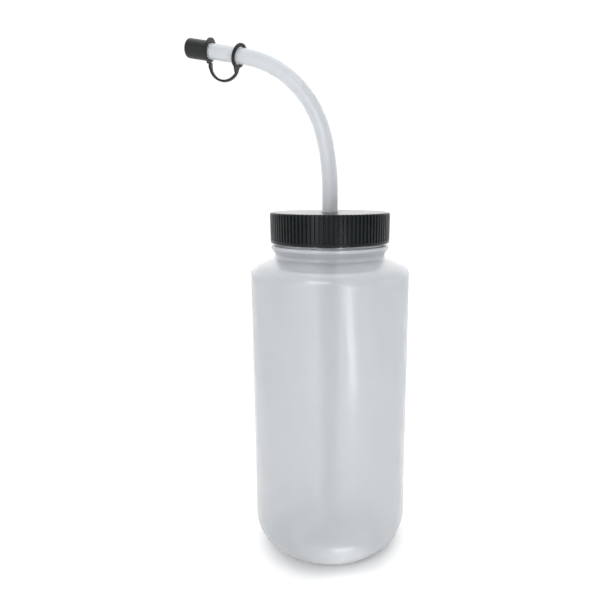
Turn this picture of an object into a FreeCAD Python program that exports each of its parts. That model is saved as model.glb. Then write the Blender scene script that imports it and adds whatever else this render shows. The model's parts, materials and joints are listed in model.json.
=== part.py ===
import FreeCAD, Part

# Wide-mouth squeeze wash bottle of about one litre: a blow-moulded bottle, a ribbed
# screw cap with a foam liner, a bent draw straw through a grommet in the cap's middle,
# and a push-on tip cap that a strap ties to a ring round the straw.
#
# Frame: millimetres, +Z up, origin at the centre of the standing ring under the base.
# The straw's bend lies in the XZ plane, and its tip points to -X.

import math
import os

from FreeCAD import Placement, Rotation, Vector

# ---- driving dimensions (millimetres, degrees) ----

# bottle body
BODY_R = 44.25            # outside of the straight wall
WALL = 1.4                # body, shoulder and base
BASE_CORNER_R = 20.0      # outside rounding between the wall and the base
FOOT_INNER_R = 17.0       # inner edge of the flat standing ring
PUSH_UP = 2.0             # height of the dished middle of the base
DISH_BLEND_R = 6.0        # roundings between the ring and the dished middle
SHOULDER_SLOPE = 20.0     # below the horizontal
SHOULDER_CORNER_R = 7.0   # outside rounding between the shoulder and the wall

# neck
THROAT_Z = 172.3          # sharp bottom of the groove between shoulder and neck flange
THROAT_R = 29.6
THROAT_ROUND_R = 1.8
FLANGE_R = 32.6
FLANGE_LOW_Z = 177.0
FLANGE_LOW_ROUND_R = 1.2
FLANGE_TOP_Z = 178.7
FLANGE_TOP_ROUND_R = 0.5
NECK_R = 29.9
NECK_BORE_R = 27.9
NECK_EDGE_R = 0.5
NECK_TO_SHOULDER_R = 2.0  # inside

# screw cap
CAP_TOP_Z = 196.5
CAP_H = 16.5
CAP_TOP_R = 33.1          # the grip tapers slightly from here down to CAP_LOW_R
CAP_LOW_R = 32.9
CAP_EDGE_R = 1.2
CAP_VALLEY_R = 32.25      # bottom of the grooves between the ribs
CAP_RIB_R = 33.3          # the ribs' section reaches past the grip's outline, which trims it
CAP_SKIRT_BORE_R = 31.4
CAP_PANEL_T = 2.2
CAP_BAND_H = 1.7          # plain band under the ribs
CAP_BAND_EDGE_R = 0.6
RIBS = 90
RIB_SECTION = (           # share of one rib's step round the cap, and radius there
    (0.0, CAP_VALLEY_R),
    (0.3, CAP_VALLEY_R),
    (0.45, CAP_RIB_R),
    (0.85, CAP_RIB_R),
)

# thread: one helix of this pitch on the neck, and one in the cap half a pitch lower
THREAD_PITCH = 25.4 / 6
THREAD_START_Z = 183.4
THREAD_TURNS = 1.25
NECK_THREAD_R = 31.1      # crest on the neck
CAP_THREAD_R = 30.2       # crest in the cap
THREAD_ROOT_W = 2.1
THREAD_CREST_W = 1.0
THREAD_ROOT_DEPTH = 0.2   # how far a ridge is sunk into its wall

# liner under the cap's panel
LINER_T = 1.2
LINER_R = 31.2
LINER_HOLE_R = 9.0
LINER_EDGE_R = 0.2

# straw
STRAW_R = 4.3
STRAW_BORE_R = 2.8
STRAW_FOOT_Z = 8.0
STRAW_BEND_Z = 209.0      # the straw is upright up to here
LOW_BEND_R = 117.0        # two bends that follow each other, of the straw's centre line
LOW_BEND_ANGLE = 14.0
HIGH_BEND_R = 58.0
HIGH_BEND_ANGLE = 65.3
STRAW_TIP_LENGTH = 32.8   # straight run after the bends

# grommet
RUNNING_GAP = 0.05        # radial, where one piece turns or slides in another
GROMMET_SLEEVE_R = 5.6
GROMMET_FLANGE_R = 8.2
GROMMET_FLANGE_T = 2.6
GROMMET_NOSE_R = 6.2
GROMMET_NOSE_H = 4.0
GROMMET_EDGE_R = 0.4
GROMMET_SINK = 0.1        # top of the sleeve below the cap's top

# tip cap, and the ring and strap that tie it to the straw; "along" is measured on the
# axis of the straw's straight tip from the end of its bend, "below" across that axis
TIP_CAP_R = 5.3
TIP_CAP_LENGTH = 14.3
TIP_CAP_END_T = 1.3
TIP_CAP_EDGE_R = 1.8
TIP_CAP_END_GAP = 0.2     # between the straw's end and the inside of the cap's end
TIP_CAP_LEAD_IN = 0.4     # chamfer at the mouth of its bore
TIP_FLANGE_T = 1.0
TIP_FLANGE_HALF_H = 6.6   # the flange is an oval, taller than it is wide
TIP_FLANGE_HALF_W = 5.9
TIP_FLANGE_RISE = 0.5     # of the oval's middle above the axis
RING_R = 6.6
RING_BORE_R = 4.65
RING_T = 0.8
RING_ALONG = 2.7          # middle of the ring
RING_TILT = 8.5           # it hangs askew on the straw: its front side nearer the tip
RING_LEAN = 9.0           # and its lower side nearer the tip
RING_LUG_TOP = 5.2        # the lug under the ring narrows from here down to LUG_END
RING_LUG_TOP_W = 6.0
RING_LUG_FOLD = 17.0      # the strap pulls the lug out of the ring's plane, from the tip
LUG_END = 9.3             # below the axis, where both lugs end and the strap begins
STRAP_W = 2.4
STRAP_T = 1.4
STRAP_R = 8.45            # of the half circle that the strap's middle follows
STRAP_ALONG = 10.75       # centre of that half circle
STRAP_BELOW = 5.9
STRAP_END_GAP = 0.04      # between the strap and each lug
STRAP_BRIDGE_LOW = 6.6    # the tip cap's lug is joined to the flange down to here

CUT_PAST = 1.0            # how far a cut runs past the face it opens

# ---- sizes that follow from those ----

CAP_LOW_Z = CAP_TOP_Z - CAP_H
PANEL_LOW_Z = CAP_TOP_Z - CAP_PANEL_T
RIM_Z = PANEL_LOW_Z - LINER_T
STRAW_TIP_ANGLE = LOW_BEND_ANGLE + HIGH_BEND_ANGLE
TIP_CAP_FAR = STRAW_TIP_LENGTH + TIP_CAP_END_GAP + TIP_CAP_END_T
TIP_CAP_NEAR = TIP_CAP_FAR - TIP_CAP_LENGTH


# ---- helpers ----

def corner_arc(before, corner, after, radius):
    """The arc that rounds one corner of an outline, tangent to both of its sides."""
    to_before = (before - corner).normalize()
    to_after = (after - corner).normalize()
    half = to_before.getAngle(to_after) / 2
    first = corner + to_before * (radius / math.tan(half))
    last = corner + to_after * (radius / math.tan(half))
    inward = (to_before + to_after).normalize()
    middle = corner + inward * (radius / math.sin(half) - radius)
    return first, middle, last


def outline(corners):
    """Closed outline in the XZ plane from (x, z) or (x, z, rounding radius) corners."""
    points = [Vector(corner[0], 0, corner[1]) for corner in corners]
    edges = []
    ends = []
    for i, corner in enumerate(corners):
        if len(corner) == 2:
            ends.append((points[i], points[i]))
            continue
        before = points[i - 1]
        after = points[(i + 1) % len(points)]
        first, middle, last = corner_arc(before, points[i], after, corner[2])
        edges.append(Part.Arc(first, middle, last).toShape())
        ends.append((first, last))
    for i, (_, leave) in enumerate(ends):
        arrive = ends[(i + 1) % len(ends)][0]
        if leave.distanceToPoint(arrive) > 1e-6:
            edges.append(Part.makeLine(leave, arrive))
    return Part.Wire(Part.sortEdges(edges)[0])


def turned(corners):
    """Solid of revolution about Z from an outline."""
    return Part.Face(outline(corners)).revolve(Vector(0, 0, 0), Vector(0, 0, 1), 360)


def thread_ridge(root_r, crest_r, start_z):
    """One ridge that climbs a right-hand helix, with a trapezium for its section."""
    height = THREAD_PITCH * THREAD_TURNS
    helix = Part.makeHelix(THREAD_PITCH, height, root_r)
    section = Part.makePolygon([
        Vector(root_r, 0, -THREAD_ROOT_W / 2),
        Vector(crest_r, 0, -THREAD_CREST_W / 2),
        Vector(crest_r, 0, THREAD_CREST_W / 2),
        Vector(root_r, 0, THREAD_ROOT_W / 2),
        Vector(root_r, 0, -THREAD_ROOT_W / 2),
    ])
    ridge = Part.Wire(helix).makePipeShell([section], True, True)
    ridge.translate(Vector(0, 0, start_z))
    return ridge


def onto_tip(shape):
    """Moves a piece made along Z to the straw's straight tip, with Z pointing out of it."""
    placed = shape.copy()
    turn = Rotation(Vector(0, 1, 0), -STRAW_TIP_ANGLE)
    placed.Placement = Placement(straw_bend_ends()[1], turn).multiply(placed.Placement)
    return placed


# ---- bottle ----

def shoulder_z(radius, inset=0.0):
    """Height of the shoulder's cone at a radius, or of its inner face an inset below."""
    slope = math.radians(SHOULDER_SLOPE)
    return THROAT_Z - (radius - THROAT_R) * math.tan(slope) - inset / math.cos(slope)


def bottle():
    """Bottle with its neck, neck flange and outside thread."""
    bore_r = BODY_R - WALL
    dish_r = FOOT_INNER_R - DISH_BLEND_R
    outside = [
        (0, PUSH_UP),
        (dish_r, PUSH_UP, DISH_BLEND_R),
        (FOOT_INNER_R, 0, DISH_BLEND_R),
        (BODY_R, 0, BASE_CORNER_R),
        (BODY_R, shoulder_z(BODY_R), SHOULDER_CORNER_R),
        (THROAT_R, THROAT_Z, THROAT_ROUND_R),
        (FLANGE_R, FLANGE_LOW_Z, FLANGE_LOW_ROUND_R),
        (FLANGE_R, FLANGE_TOP_Z, FLANGE_TOP_ROUND_R),
        (NECK_R, FLANGE_TOP_Z, NECK_EDGE_R),
        (NECK_R, RIM_Z, NECK_EDGE_R),
    ]
    inside = [
        (NECK_BORE_R, RIM_Z, NECK_EDGE_R),
        (NECK_BORE_R, shoulder_z(NECK_BORE_R, WALL), NECK_TO_SHOULDER_R),
        (bore_r, shoulder_z(bore_r, WALL), SHOULDER_CORNER_R - WALL),
        (bore_r, WALL, BASE_CORNER_R - WALL),
        (FOOT_INNER_R, WALL, DISH_BLEND_R),
        (dish_r, PUSH_UP + WALL, DISH_BLEND_R),
        (0, PUSH_UP + WALL),
    ]
    ridge = thread_ridge(NECK_R - THREAD_ROOT_DEPTH, NECK_THREAD_R, THREAD_START_Z)
    return turned(outside + inside).fuse(ridge)


# ---- screw cap, its liner and the grommet ----

def rib_star():
    """Prism with the ribs' zigzag section, standing on the plain band."""
    step = 2 * math.pi / RIBS
    corners = []
    for rib in range(RIBS):
        for share, radius in RIB_SECTION:
            angle = (rib + share) * step
            corners.append(Vector(radius * math.cos(angle), radius * math.sin(angle), 0))
    wire = Part.makePolygon(corners + corners[:1])
    star = Part.Face(wire).extrude(Vector(0, 0, CAP_H - CAP_BAND_H))
    star.translate(Vector(0, 0, CAP_LOW_Z + CAP_BAND_H))
    return star


def screw_cap():
    """Cap with a ribbed grip, a plain band below it, an inside thread and a middle hole."""
    grip = turned([
        (0, CAP_LOW_Z),
        (CAP_LOW_R, CAP_LOW_Z),
        (CAP_TOP_R, CAP_TOP_Z, CAP_EDGE_R),
        (0, CAP_TOP_Z),
    ])
    band = turned([
        (0, CAP_LOW_Z),
        (CAP_LOW_R, CAP_LOW_Z, CAP_BAND_EDGE_R),
        (CAP_LOW_R, CAP_LOW_Z + CAP_BAND_H, CAP_BAND_EDGE_R / 2),
        (0, CAP_LOW_Z + CAP_BAND_H),
    ])
    hollow = turned([
        (0, CAP_LOW_Z - CUT_PAST),
        (CAP_SKIRT_BORE_R, CAP_LOW_Z - CUT_PAST),
        (CAP_SKIRT_BORE_R, PANEL_LOW_Z),
        (0, PANEL_LOW_Z),
    ])
    hole = Part.makeCylinder(GROMMET_SLEEVE_R, CAP_H, Vector(0, 0, CAP_LOW_Z + CUT_PAST))
    start_z = THREAD_START_Z - THREAD_PITCH / 2
    ridge = thread_ridge(CAP_SKIRT_BORE_R + THREAD_ROOT_DEPTH, CAP_THREAD_R, start_z)
    shell = rib_star().common(grip).fuse(band).cut(hollow).cut(hole)
    return shell.fuse(ridge).removeSplitter()


def cap_liner():
    """Foam disc that the cap presses on the bottle's rim."""
    return turned([
        (LINER_HOLE_R, RIM_Z),
        (LINER_R, RIM_Z, LINER_EDGE_R),
        (LINER_R, PANEL_LOW_Z, LINER_EDGE_R),
        (LINER_HOLE_R, PANEL_LOW_Z),
    ])


def straw_grommet():
    """Soft seal in the cap's hole: a flush sleeve, a flange under the panel and a nose."""
    bore_r = STRAW_R + RUNNING_GAP
    sleeve_r = GROMMET_SLEEVE_R - RUNNING_GAP
    flange_top = PANEL_LOW_Z - RUNNING_GAP
    flange_low = flange_top - GROMMET_FLANGE_T
    nose_low = flange_low - GROMMET_NOSE_H
    top = CAP_TOP_Z - GROMMET_SINK
    return turned([
        (bore_r, nose_low, GROMMET_EDGE_R),
        (GROMMET_NOSE_R, nose_low, GROMMET_EDGE_R * 2),
        (GROMMET_NOSE_R, flange_low, GROMMET_EDGE_R),
        (GROMMET_FLANGE_R, flange_low, GROMMET_EDGE_R),
        (GROMMET_FLANGE_R, flange_top, GROMMET_EDGE_R),
        (sleeve_r, flange_top),
        (sleeve_r, top, GROMMET_EDGE_R / 2),
        (bore_r, top, GROMMET_EDGE_R / 2),
    ])


# ---- straw ----

def bend(start, angle_from, angle_by, radius):
    """End of a bend in the XZ plane towards -X, and its middle; angles from the vertical."""
    def along(angle):
        first = math.radians(angle_from)
        last = math.radians(angle)
        across = radius * (math.cos(first) - math.cos(last))
        up = radius * (math.sin(last) - math.sin(first))
        return start + Vector(-across, 0, up)
    return along(angle_from + angle_by / 2), along(angle_from + angle_by)


def straw_bend_ends():
    """Ends of the lower and of the upper bend."""
    _, low_end = bend(Vector(0, 0, STRAW_BEND_Z), 0, LOW_BEND_ANGLE, LOW_BEND_R)
    _, high_end = bend(low_end, LOW_BEND_ANGLE, HIGH_BEND_ANGLE, HIGH_BEND_R)
    return low_end, high_end


def tip_direction():
    """Unit vector out of the straw's tip."""
    angle = math.radians(STRAW_TIP_ANGLE)
    return Vector(-math.sin(angle), 0, math.cos(angle))


def straw():
    """Bent draw straw, from just over the bottle's floor to its tip inside the tip cap."""
    foot = Vector(0, 0, STRAW_FOOT_Z)
    bend_start = Vector(0, 0, STRAW_BEND_Z)
    low_end, high_end = straw_bend_ends()
    low_middle, _ = bend(bend_start, 0, LOW_BEND_ANGLE, LOW_BEND_R)
    high_middle, _ = bend(low_end, LOW_BEND_ANGLE, HIGH_BEND_ANGLE, HIGH_BEND_R)
    path = Part.Wire([
        Part.LineSegment(foot, bend_start).toShape(),
        Part.Arc(bend_start, low_middle, low_end).toShape(),
        Part.Arc(low_end, high_middle, high_end).toShape(),
        Part.LineSegment(high_end, high_end + tip_direction() * STRAW_TIP_LENGTH).toShape(),
    ])
    rods = []
    for radius in (STRAW_R, STRAW_BORE_R):
        circle = Part.Circle(foot, Vector(0, 0, 1), radius).toShape()
        rods.append(path.makePipe(Part.Face(Part.Wire(circle))))
    return rods[0].cut(rods[1])


# ---- tip cap, tether ring and strap ----

def strap_half_ring():
    """The strap's flat band as a whole half ring, from which it and its lug are cut."""
    centre = Vector(-STRAP_BELOW, 0, STRAP_ALONG)
    half = STRAP_W / 2
    inner = STRAP_ALONG + STRAP_R - STRAP_T / 2
    outer = inner + STRAP_T
    section = Part.makePolygon([
        Vector(-STRAP_BELOW, -half, inner),
        Vector(-STRAP_BELOW, half, inner),
        Vector(-STRAP_BELOW, half, outer),
        Vector(-STRAP_BELOW, -half, outer),
        Vector(-STRAP_BELOW, -half, inner),
    ])
    return Part.Face(section).revolve(centre, Vector(0, -1, 0), 180)


def block(below, half_width, along):
    """Box under the straw's axis between two distances below it and two along it."""
    corner = Vector(-below[1], -half_width, along[0])
    return Part.makeBox(below[1] - below[0], 2 * half_width, along[1] - along[0], corner)


def tip_cap():
    """Push-on cap over the straw's end, with an oval flange and a lug at its mouth."""
    bore_r = STRAW_R + RUNNING_GAP
    mouth = TIP_CAP_NEAR + TIP_FLANGE_T
    cup = turned([
        (0, TIP_CAP_NEAR),
        (TIP_CAP_R, TIP_CAP_NEAR),
        (TIP_CAP_R, TIP_CAP_FAR, TIP_CAP_EDGE_R),
        (0, TIP_CAP_FAR),
    ])
    middle = Vector(TIP_FLANGE_RISE, 0, TIP_CAP_NEAR)
    oval = Part.Ellipse(middle, TIP_FLANGE_HALF_H, TIP_FLANGE_HALF_W)
    flange = Part.Face(Part.Wire(oval.toShape())).extrude(Vector(0, 0, TIP_FLANGE_T))
    lug = strap_half_ring().common(
        block((STRAP_BELOW, LUG_END), STRAP_W, (STRAP_ALONG, TIP_CAP_FAR)))
    bridge = block((STRAP_BELOW, STRAP_BRIDGE_LOW), STRAP_W / 2,
                   (STRAP_ALONG + STRAP_R - STRAP_T / 2, mouth))
    hollow = turned([
        (0, TIP_CAP_NEAR - CUT_PAST),
        (bore_r + TIP_CAP_LEAD_IN, TIP_CAP_NEAR - CUT_PAST),
        (bore_r + TIP_CAP_LEAD_IN, TIP_CAP_NEAR),
        (bore_r, TIP_CAP_NEAR + TIP_CAP_LEAD_IN),
        (bore_r, TIP_CAP_FAR - TIP_CAP_END_T),
        (0, TIP_CAP_FAR - TIP_CAP_END_T),
    ])
    solid = cup.fuse(flange).cut(hollow).fuse(bridge).fuse(lug)
    return onto_tip(solid.removeSplitter())


def tether_ring():
    """Loose ring round the straw, with the lug that holds the strap's other end."""
    half = STRAP_W / 2
    lug = Part.Face(Part.makePolygon([
        Vector(-RING_LUG_TOP, -RING_LUG_TOP_W / 2, 0),
        Vector(-LUG_END, -half, 0),
        Vector(-LUG_END, half, 0),
        Vector(-RING_LUG_TOP, RING_LUG_TOP_W / 2, 0),
        Vector(-RING_LUG_TOP, -RING_LUG_TOP_W / 2, 0),
    ])).extrude(Vector(0, 0, RING_T))
    lug.rotate(Vector(-RING_LUG_TOP, 0, RING_T / 2), Vector(0, 1, 0), -RING_LUG_FOLD)
    disc = Part.makeCylinder(RING_R, RING_T)
    ring = disc.fuse(lug).cut(Part.makeCylinder(RING_BORE_R, RING_T)).removeSplitter()
    ring.translate(Vector(0, 0, -RING_T / 2))
    ring.rotate(Vector(0, 0, 0), Vector(1, 0, 0), -RING_TILT)
    ring.rotate(Vector(0, 0, 0), Vector(0, 1, 0), RING_LEAN)
    ring.translate(Vector(0, 0, RING_ALONG))
    return onto_tip(ring)


def tether_strap():
    """Flat strap that hangs in an arc from the tip cap's lug to the ring's lug."""
    low = block((LUG_END + STRAP_END_GAP, STRAP_BELOW + 2 * STRAP_R), STRAP_W,
                (STRAP_ALONG - 2 * STRAP_R, STRAP_ALONG + 2 * STRAP_R))
    return onto_tip(strap_half_ring().common(low))


# ---- export ----

def check_straw_length(shape):
    """Compares the straw's volume with its section times its centre line's length."""
    length = (STRAW_BEND_Z - STRAW_FOOT_Z + LOW_BEND_R * math.radians(LOW_BEND_ANGLE)
              + HIGH_BEND_R * math.radians(HIGH_BEND_ANGLE) + STRAW_TIP_LENGTH)
    expected = math.pi * (STRAW_R ** 2 - STRAW_BORE_R ** 2) * length
    print("straw: length %.1f mm, volume %.4f of expected" % (length, shape.Volume / expected))


def main():
    nodes = {
        "bottle": bottle(),
        "screw_cap": screw_cap(),
        "cap_liner": cap_liner(),
        "straw_grommet": straw_grommet(),
        "straw": straw(),
        "tip_cap": tip_cap(),
        "tether_ring": tether_ring(),
        "tether_strap": tether_strap(),
    }
    check_straw_length(nodes["straw"])
    os.makedirs("parts", exist_ok=True)
    for name, shape in nodes.items():
        solid = shape.Solids[0]
        box = solid.BoundBox
        print("%-14s solids %d valid %s volume %9.1f  x %.2f..%.2f  y %.2f..%.2f  z %.2f..%.2f" % (
            name, len(shape.Solids), solid.isValid(), solid.Volume,
            box.XMin, box.XMax, box.YMin, box.YMax, box.ZMin, box.ZMax))
        solid.exportStep("parts/" + name + ".step")


main()
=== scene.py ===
"""Looks of the wash bottle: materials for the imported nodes, the soft tether, floor, light and camera."""

import json
import math

import bpy
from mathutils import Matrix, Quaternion, Vector


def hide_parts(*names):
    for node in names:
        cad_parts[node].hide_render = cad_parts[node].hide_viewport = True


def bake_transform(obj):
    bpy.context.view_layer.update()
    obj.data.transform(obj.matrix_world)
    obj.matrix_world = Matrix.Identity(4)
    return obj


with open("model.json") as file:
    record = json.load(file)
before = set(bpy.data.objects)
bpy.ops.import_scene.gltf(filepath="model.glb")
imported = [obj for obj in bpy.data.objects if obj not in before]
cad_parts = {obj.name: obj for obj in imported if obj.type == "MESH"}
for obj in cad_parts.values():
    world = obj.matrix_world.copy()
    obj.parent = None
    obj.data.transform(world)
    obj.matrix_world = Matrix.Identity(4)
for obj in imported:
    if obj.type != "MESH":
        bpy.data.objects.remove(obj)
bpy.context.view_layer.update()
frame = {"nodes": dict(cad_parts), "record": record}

# ---- camera, in metres and degrees ----
CAMERA_AZIMUTH = 15.5      # seen from the front, turned towards +X
CAMERA_PITCH = 11.1        # below the horizontal
CAMERA_DISTANCE = 0.323    # level distance from the bottle's axis
CAMERA_HEIGHT = 0.2103
CAMERA_LENS = 34.68        # on a sensor 36 mm wide
CAMERA_SHIFT_X = -0.05

# ---- strap, in metres and degrees; angles run from the tip cap's side to the ring's ----
STRAP_RADIUS = 0.00845
STRAP_CENTRE_OUT = -0.00125    # from the tether's turning point, along the straw's tip
STRAP_CENTRE_BELOW = 0.0059
STRAP_FIRST_ANGLE = 17.0
STRAP_LAST_ANGLE = 159.0
STRAP_WIDTH = 0.0025
STRAP_THICKNESS = 0.00148      # at the tip cap
STRAP_THINNED = 0.0011         # at the ring
STRAP_SUNK_SHARE = 0.06        # part of its length over which each end sinks into its lug
STRAP_SUNK_SCALE = 0.86        # of the section at the very end
STRAP_STEPS = 64
STRAP_CORNER_SHARE = 0.42      # radius of the section's corners, as a part of its thickness

# ---- light and floor, in metres and degrees ----
WORLD_FRONT = 0.30             # strength of the room on the photographer's side
WORLD_BACK = 1.9               # and behind the bottle
WORLD_SEEN = 1.05              # strength of the background that the camera sees
LIGHT_AIM_HEIGHT = 0.25
FLOOR_HALF = 12.0
LIGHTS = (
    # name, azimuth, distance, height, (width, height of the box), brightness, lean
    ("strip_right", 41.0, 0.25, 0.095, (0.032, 0.15), 6.5, 20.0),
    ("strip_left", -12.0, 0.75, 0.34, (0.12, 0.52), 5.0, 0.0),
    ("front_high", 3.0, 0.5, 0.36, (0.26, 0.08), 11.0, 0.0),
    ("base_glint", 27.0, 0.058, 0.0035, (0.020, 0.005), 6.0, 0.0),
    ("overhead", 15.5, 0.1, 1.4, (1.2, 1.2), 1.0, 0.0),
)


# ---- materials ----

class Nodes:
    """A material's node tree, with short calls for the nodes that the materials here share."""

    def __init__(self, name):
        self.material = bpy.data.materials.new(name)
        self.material.use_nodes = True
        self.tree = self.material.node_tree
        self.shader = next(n for n in self.tree.nodes if n.type == "BSDF_PRINCIPLED")
        self.place = self.tree.nodes.new("ShaderNodeTexCoord").outputs["Object"]

    def add(self, kind, **values):
        node = self.tree.nodes.new(kind)
        for key, value in values.items():
            setattr(node, key, value)
        return node

    def link(self, output, socket):
        self.tree.links.new(output, socket)

    def stretched(self, scale):
        """The object's own coordinates, scaled along each axis."""
        mapping = self.add("ShaderNodeMapping")
        mapping.inputs["Scale"].default_value = scale
        self.link(self.place, mapping.inputs["Vector"])
        return mapping.outputs["Vector"]

    def noise(self, scale, detail=3.0, stretch=None):
        node = self.add("ShaderNodeTexNoise")
        node.inputs["Scale"].default_value = scale
        node.inputs["Detail"].default_value = detail
        self.link(self.stretched(stretch) if stretch else self.place, node.inputs["Vector"])
        return node.outputs["Fac"]

    def spread(self, value, low, high):
        """Maps a noise value, which stays near 0.5, to the range low to high."""
        node = self.add("ShaderNodeMapRange")
        node.inputs["From Min"].default_value = 0.3
        node.inputs["From Max"].default_value = 0.7
        node.inputs["To Min"].default_value = low
        node.inputs["To Max"].default_value = high
        self.link(value, node.inputs["Value"])
        return node.outputs["Result"]

    def between(self, value, first, second):
        """Mixes two colours by a value."""
        node = self.add("ShaderNodeMix", data_type="RGBA")
        self.link(value, node.inputs["Factor"])
        node.inputs["A"].default_value = (*first, 1)
        node.inputs["B"].default_value = (*second, 1)
        return node.outputs["Result"]

    def bump(self, height, distance, strength=1.0, over=None):
        """A bump of that height in metres, on top of another bump."""
        node = self.add("ShaderNodeBump")
        node.inputs["Distance"].default_value = distance
        node.inputs["Strength"].default_value = strength
        self.link(height, node.inputs["Height"])
        if over:
            self.link(over, node.inputs["Normal"])
        return node.outputs["Normal"]


def milky_plastic(name, colour, tint, clear, roughness, waviness):
    """Natural polyethylene: milky, satin, with faint flow marks and rubbed spots."""
    nodes = Nodes(name)
    shader = nodes.shader
    cloud = nodes.noise(18.0, 3.0, (1, 1, 0.35))
    nodes.link(nodes.between(nodes.spread(cloud, 0, 1), colour, tint), shader.inputs["Base Color"])
    rubbed = nodes.noise(60.0, 5.0, (1, 1, 0.4))
    nodes.link(nodes.spread(rubbed, roughness - 0.02, roughness + 0.03), shader.inputs["Roughness"])
    shader.inputs["Transmission Weight"].default_value = clear
    shader.inputs["IOR"].default_value = 1.5
    shader.inputs["Subsurface Weight"].default_value = 1.0
    shader.inputs["Subsurface Radius"].default_value = (1.0, 1.0, 1.0)
    shader.inputs["Subsurface Scale"].default_value = 0.003
    wall = nodes.bump(nodes.noise(16.0, 0.0, (1, 1, 0.3)), waviness, 0.25)
    grain = nodes.bump(nodes.noise(900.0, 1.0), 0.00001, 0.15, wall)
    nodes.link(grain, shader.inputs["Normal"])
    return nodes.material


def black_plastic():
    """Moulded black polypropylene: satin, with a fine spark-eroded grain and dust."""
    nodes = Nodes("cap_black_plastic")
    shader = nodes.shader
    dust = nodes.spread(nodes.noise(90.0, 6.0), 0, 1)
    nodes.link(nodes.between(dust, (0.006, 0.008, 0.009), (0.009, 0.012, 0.013)),
               shader.inputs["Base Color"])
    nodes.link(nodes.spread(nodes.noise(140.0, 5.0), 0.24, 0.32), shader.inputs["Roughness"])
    shader.inputs["Specular IOR Level"].default_value = 0.18
    grain = nodes.bump(nodes.noise(3500.0, 2.0), 0.00003, 0.6)
    nodes.link(grain, shader.inputs["Normal"])
    return nodes.material


def soft_black(name, roughness):
    """Soft moulded black elastomer: duller than the cap, slightly waxy."""
    nodes = Nodes(name)
    shader = nodes.shader
    bloom = nodes.spread(nodes.noise(220.0, 5.0), 0, 1)
    nodes.link(nodes.between(bloom, (0.006, 0.007, 0.007), (0.011, 0.012, 0.012)),
               shader.inputs["Base Color"])
    nodes.link(nodes.spread(nodes.noise(300.0, 4.0), roughness - 0.05, roughness + 0.07),
               shader.inputs["Roughness"])
    shader.inputs["Specular IOR Level"].default_value = 0.3
    nodes.link(nodes.bump(nodes.noise(3000.0, 2.0), 0.00004, 0.6), shader.inputs["Normal"])
    return nodes.material


def white_foam():
    """Closed-cell liner foam: matt, with small cells."""
    nodes = Nodes("liner_white_foam")
    shader = nodes.shader
    cells = nodes.add("ShaderNodeTexVoronoi")
    cells.inputs["Scale"].default_value = 2200.0
    nodes.link(nodes.place, cells.inputs["Vector"])
    nodes.link(nodes.between(cells.outputs["Distance"], (0.72, 0.72, 0.7), (0.85, 0.85, 0.83)),
               shader.inputs["Base Color"])
    shader.inputs["Roughness"].default_value = 0.85
    nodes.link(nodes.bump(cells.outputs["Distance"], 0.00008, 0.6), shader.inputs["Normal"])
    return nodes.material


def paint(node_name, material):
    """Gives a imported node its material."""
    mesh = frame["nodes"][node_name].data
    mesh.materials.clear()
    mesh.materials.append(material)


# ---- strap between the tip cap's lug and the ring's lug ----

def tip_axes():
    """A point on the straw tip's axis, the direction out of the tip, and the one below it."""
    joints = {joint["name"]: joint for joint in frame["record"]["behaviour"]["joints"]}
    out = Vector(joints["tip_cap_pull"]["axis"])
    below = Vector((-out.z, 0, out.x))
    return Vector(joints["tether_turn"]["pos_m"]), out, below


def rounded_section(width, thickness, steps=5):
    """Points round a flat band's section, whose corners are quarter circles."""
    radius = STRAP_CORNER_SHARE * thickness
    points = []
    for corner in range(4):
        across = (width / 2 - radius) * (1 if corner in (0, 3) else -1)
        up = (thickness / 2 - radius) * (1 if corner in (0, 1) else -1)
        for step in range(steps):
            angle = math.radians(90 * (corner + step / (steps - 1)))
            points.append((across + radius * math.cos(angle), up + radius * math.sin(angle)))
    return points


def strap():
    """Soft band that hangs in an arc, thinner towards the ring, with its ends in the lugs."""
    axis_point, out, below = tip_axes()
    centre = axis_point + out * STRAP_CENTRE_OUT + below * STRAP_CENTRE_BELOW
    verts = []
    faces = []
    for step in range(STRAP_STEPS + 1):
        share = step / STRAP_STEPS
        angle = math.radians(STRAP_FIRST_ANGLE + share * (STRAP_LAST_ANGLE - STRAP_FIRST_ANGLE))
        outward = out * math.cos(angle) + below * math.sin(angle)
        middle = centre + outward * STRAP_RADIUS
        sunk = max(0.0, 1 - min(share, 1 - share) / STRAP_SUNK_SHARE)
        scale = 1 + sunk * sunk * (STRAP_SUNK_SCALE - 1)
        thickness = STRAP_THICKNESS + share * (STRAP_THINNED - STRAP_THICKNESS)
        section = rounded_section(STRAP_WIDTH * scale, thickness * scale)
        for across, up in section:
            verts.append(middle + Vector((0, 1, 0)) * across + outward * up)
    around = len(verts) // (STRAP_STEPS + 1)
    for step in range(STRAP_STEPS):
        here = step * around
        ahead = here + around
        for i in range(around):
            after = (i + 1) % around
            faces.append((here + i, here + after, ahead + after, ahead + i))
    faces.append(tuple(range(around)))
    faces.append(tuple(reversed(range(STRAP_STEPS * around, (STRAP_STEPS + 1) * around))))
    mesh = bpy.data.meshes.new("strap")
    mesh.from_pydata(verts, [], faces)
    mesh.validate()
    mesh.shade_smooth()
    piece = bpy.data.objects.new("strap", mesh)
    bpy.context.scene.collection.objects.link(piece)
    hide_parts("tether_strap")
    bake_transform(piece)
    return piece


# ---- surroundings ----

def floor_material():
    """Nearly white, matt, with a slight unevenness."""
    nodes = Nodes("pale_floor")
    nodes.link(nodes.between(nodes.spread(nodes.noise(6.0, 3.0), 0, 1), (0.93, 0.93, 0.93),
                             (0.95, 0.95, 0.95)), nodes.shader.inputs["Base Color"])
    nodes.shader.inputs["Roughness"].default_value = 0.7
    return nodes.material


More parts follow.
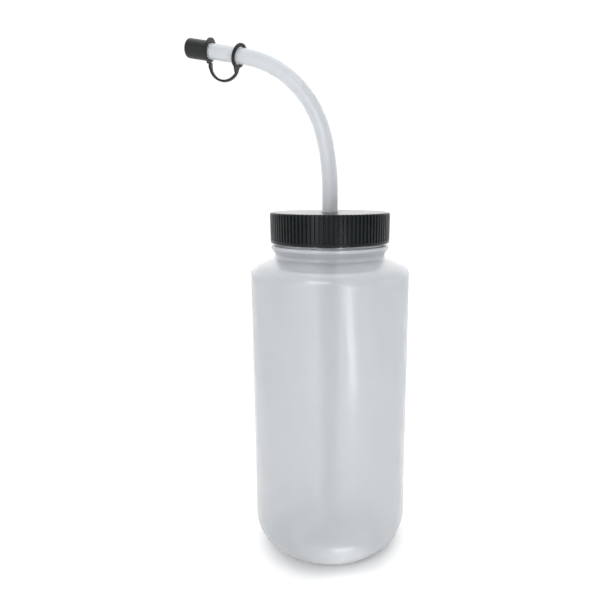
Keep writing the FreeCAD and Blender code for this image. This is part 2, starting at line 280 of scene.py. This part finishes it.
def studio_floor():
    """Pale floor under the bottle, wide enough for every view."""
    mesh = bpy.data.meshes.new("floor")
    half = FLOOR_HALF
    corners = [(-half, -half, 0), (half, -half, 0), (half, half, 0), (-half, half, 0)]
    mesh.from_pydata(corners, [], [(0, 1, 2, 3)])
    mesh.materials.append(floor_material())
    floor = bpy.data.objects.new("floor", mesh)
    bpy.context.scene.collection.objects.link(floor)


def soft_light(name, azimuth, distance, height, size, brightness, lean):
    """Softbox that faces the bottle and may lean sideways; azimuths are like the camera's."""
    data = bpy.data.lights.new(name, "AREA")
    data.shape = "RECTANGLE"
    data.size, data.size_y = size
    data.energy = brightness * math.pi * size[0] * size[1]
    light = bpy.data.objects.new(name, data)
    around = math.radians(azimuth)
    place = Vector((distance * math.sin(around), -distance * math.cos(around), height))
    light.location = place
    light.rotation_mode = "QUATERNION"
    aim = Vector((0, 0, min(height, LIGHT_AIM_HEIGHT)))
    facing = (aim - place).to_track_quat("-Z", "Y")
    light.rotation_quaternion = facing @ Quaternion((0, 0, 1), math.radians(lean))
    light.visible_camera = False
    bpy.context.scene.collection.objects.link(light)


def studio_world():
    """White room, brightest behind the bottle and dim on the photographer's side."""
    world = bpy.data.worlds.new("studio_world")
    bpy.context.scene.world = world
    world.use_nodes = True
    tree = world.node_tree
    around = math.radians(CAMERA_AZIMUTH)
    place = tree.nodes.new("ShaderNodeTexCoord")
    towards_back = tree.nodes.new("ShaderNodeVectorMath")
    towards_back.operation = "DOT_PRODUCT"
    towards_back.inputs[1].default_value = (-math.sin(around), math.cos(around), 0.0)
    tree.links.new(place.outputs["Generated"], towards_back.inputs[0])
    glow = tree.nodes.new("ShaderNodeMapRange")
    glow.inputs["From Min"].default_value = -1.0
    glow.inputs["From Max"].default_value = 1.0
    glow.inputs["To Min"].default_value = WORLD_FRONT
    glow.inputs["To Max"].default_value = WORLD_BACK
    tree.links.new(towards_back.outputs["Value"], glow.inputs["Value"])
    seen = tree.nodes.new("ShaderNodeLightPath")
    strength = tree.nodes.new("ShaderNodeMix")
    tree.links.new(seen.outputs["Is Camera Ray"], strength.inputs["Factor"])
    tree.links.new(glow.outputs["Result"], strength.inputs["A"])
    strength.inputs["B"].default_value = WORLD_SEEN
    background = tree.nodes["Background"]
    background.inputs["Color"].default_value = (1, 1, 1, 1)
    tree.links.new(strength.outputs["Result"], background.inputs["Strength"])


def photo_camera():
    """Camera on the photo's line of sight, level distance and height from the bottle's axis."""
    data = bpy.data.cameras.new("camera")
    data.lens = CAMERA_LENS
    data.sensor_width = 36.0
    data.shift_x = CAMERA_SHIFT_X
    data.clip_start = 0.01
    camera = bpy.data.objects.new("camera", data)
    around = math.radians(CAMERA_AZIMUTH)
    camera.location = (CAMERA_DISTANCE * math.sin(around), -CAMERA_DISTANCE * math.cos(around),
                       CAMERA_HEIGHT)
    camera.rotation_euler = (math.radians(90 - CAMERA_PITCH), 0, around)
    bpy.context.scene.collection.objects.link(camera)
    bpy.context.scene.camera = camera


# ---- the scene ----

photo_camera()
bottle_plastic = milky_plastic("bottle_milky_plastic", (0.68, 0.705, 0.73), (0.73, 0.755, 0.78),
                               0.6, 0.20, 0.0002)
straw_plastic = milky_plastic("straw_milky_plastic", (0.57, 0.595, 0.62), (0.61, 0.635, 0.66),
                              0.2, 0.32, 0.00005)
paint("bottle", bottle_plastic)
paint("straw", straw_plastic)
paint("screw_cap", black_plastic())
paint("cap_liner", white_foam())
paint("straw_grommet", soft_black("grommet_rubber", 0.6))
tether_black = soft_black("tether_soft_black", 0.42)
for node in ("tip_cap", "tether_ring"):
    paint(node, tether_black)

strap().data.materials.append(tether_black)

studio_floor()
studio_world()
for light_values in LIGHTS:
    soft_light(*light_values)
bpy.context.scene.view_settings.view_transform = "Standard"
